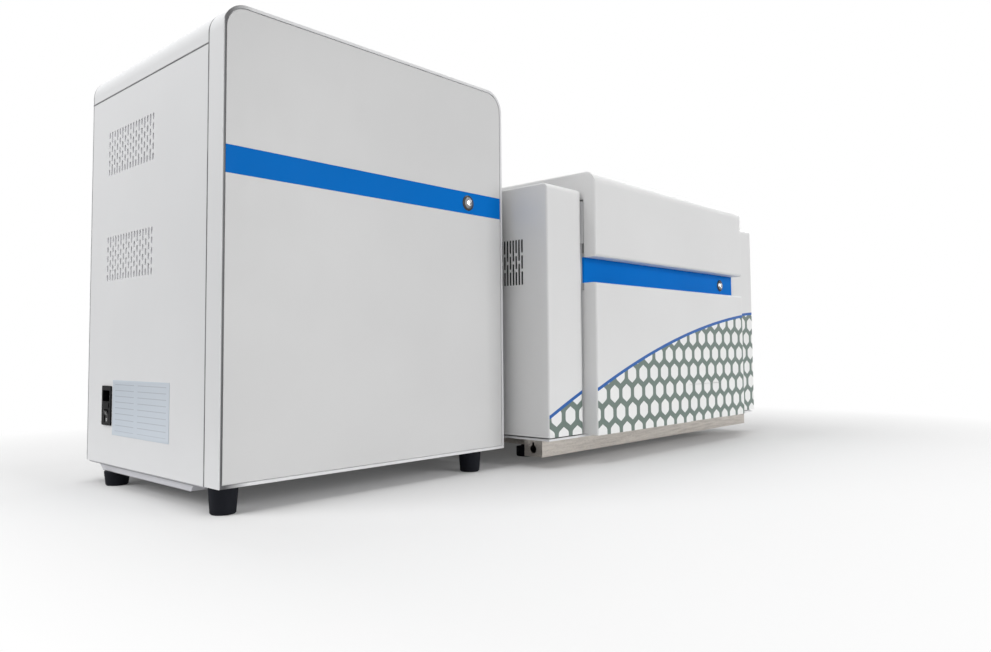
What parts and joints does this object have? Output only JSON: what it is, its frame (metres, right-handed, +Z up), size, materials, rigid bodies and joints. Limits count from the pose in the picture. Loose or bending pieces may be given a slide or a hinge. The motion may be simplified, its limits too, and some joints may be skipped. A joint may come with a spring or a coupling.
{
  "type": "flow cytometer",
  "caption": "Bench flow cytometer in two cabinets: a tall detection tower and a wide analyser with lifting hood, plate drawer, sampling probe, pump and cooling fans.",
  "frame": {"origin": "on the bench, under the middle of the whole instrument's bounding box", "axes": "+X to the right as the user faces the fronts, +Y to the back, +Z up"},
  "size_m": [1.3122, 0.6396, 0.633],
  "materials": {
    "cover_paint": "fine satin powder coat",
    "moulded_cover": "painted moulding, soft satin",
    "front_silver": "satin silver-grey",
    "accent_blue": "semi-gloss blue",
    "rubber": "matt",
    "stainless": "brushed",
    "chrome": "polished",
    "black_plastic": "fine moulded grain",
    "black_anodised": "bead-blasted, anodised",
    "bare_alloy": "machined",
    "board": "solder-masked laminate",
    "clear_glass": "polished quartz",
    "white_plastic": "natural polymer"
  },
  "bodies": {
    "cabinets": {"tower_base_tray": "cover_paint", "tower_feet": "rubber", "tower_left_panel": "cover_paint", "tower_right_panel": "cover_paint", "tower_rear_panel": "cover_paint", "tower_top_cover": "cover_paint", "tower_front_bezel": "moulded_cover", "tower_front_plate": "front_silver", "tower_stripe": "accent_blue", "tower_frame": "bare_alloy", "tower_optical_deck": "bare_alloy", "tower_spectrographs": "black_anodised", "tower_detector_boards": "board", "tower_main_board": "board", "tower_power_supply": "bare_alloy", "tower_fibre_port": "bare_alloy", "button_rings": "chrome", "power_inlets": "black_plastic", "fan_frames": "black_plastic", "base_rails": "stainless", "cross_members": "stainless", "base_pads": "rubber", "base_plate": "cover_paint", "left_cover": "moulded_cover", "right_cover": "moulded_cover", "rear_cover": "cover_paint", "recess_panel": "accent_blue", "inner_frame": "bare_alloy", "hinge_fixed_leaves": "stainless", "hinge_pins": "stainless", "lower_front_cover": "moulded_cover", "stage_runners": "stainless", "probe_column": "bare_alloy", "optical_bench": "black_anodised", "bench_mounts": "rubber", "laser_modules": "bare_alloy", "beam_optics": "bare_alloy", "flow_cell_mount": "bare_alloy", "flow_cell": "clear_glass", "detector_boxes": "black_anodised", "filter_caps": "bare_alloy", "pump_head": "bare_alloy", "fluid_manifold": "white_plastic", "sheath_filter": "white_plastic", "fluid_ports": "stainless", "control_board": "board", "analyser_power_supply": "bare_alloy"},
    "hood": {"hood": "moulded_cover", "hinge_moving_leaves": "stainless"},
    "drawer": {"drawer_front": "moulded_cover", "plate_stage": "bare_alloy"},
    "probe": {"probe_carriage": "black_anodised"},
    "tower_button": {"tower_power_button": "chrome"},
    "analyser_button": {"analyser_power_button": "chrome"},
    "tower_rocker_switch": {"tower_rocker": "black_plastic"},
    "analyser_rocker_switch": {"analyser_rocker": "black_plastic"},
    "tower_left_fan": {"tower_left_fan_rotor": "black_plastic"},
    "tower_right_fan": {"tower_right_fan_rotor": "black_plastic"},
    "analyser_fan": {"analyser_fan_rotor": "black_plastic"},
    "pump": {"pump_rotor": "white_plastic"}
  },
  "joints": [
    {"name": "hood_hinge", "type": "hinge", "parent": "cabinets", "child": "hood", "pos_m": [0.26514, 0.29375, 0.4906], "axis": [-1, 0, 0], "range_deg": [0, 65]},
    {"name": "drawer_slide", "type": "slide", "parent": "cabinets", "child": "drawer", "axis": [0, -1, 0], "range_m": [0, 0.15]},
    {"name": "probe_slide", "type": "slide", "parent": "cabinets", "child": "probe", "axis": [0, 0, -1], "range_m": [0, 0.058]},
    {"name": "tower_button_press", "type": "slide", "parent": "cabinets", "child": "tower_button", "axis": [0, 1, 0], "range_m": [0, 0.002], "stiffness_N_per_m": 400, "springref_m": -0.003},
    {"name": "analyser_button_press", "type": "slide", "parent": "cabinets", "child": "analyser_button", "axis": [0, 1, 0], "range_m": [0, 0.002], "stiffness_N_per_m": 400, "springref_m": -0.003},
    {"name": "tower_rocker_pivot", "type": "hinge", "parent": "cabinets", "child": "tower_rocker_switch", "pos_m": [-0.64936, 0.11875, 0.1034], "axis": [0, 1, 0], "range_deg": [0, 16]},
    {"name": "analyser_rocker_pivot", "type": "hinge", "parent": "cabinets", "child": "analyser_rocker_switch", "pos_m": [0.60314, 0.30275, 0.116], "axis": [1, 0, 0], "range_deg": [0, 16]},
    {"name": "tower_left_fan_spin", "type": "hinge", "parent": "cabinets", "child": "tower_left_fan", "pos_m": [-0.48636, 0.17975, 0.473], "axis": [0, 1, 0], "continuous": true},
    {"name": "tower_right_fan_spin", "type": "hinge", "parent": "cabinets", "child": "tower_right_fan", "pos_m": [-0.30636, 0.17975, 0.473], "axis": [0, 1, 0], "continuous": true},
    {"name": "analyser_fan_spin", "type": "hinge", "parent": "cabinets", "child": "analyser_fan", "pos_m": [0.08014, 0.29075, 0.1826], "axis": [0, 1, 0], "continuous": true},
    {"name": "pump_spin", "type": "hinge", "parent": "cabinets", "child": "pump", "pos_m": [0.07214, -0.27425, 0.1826], "axis": [0, 1, 0], "continuous": true}
  ]
}
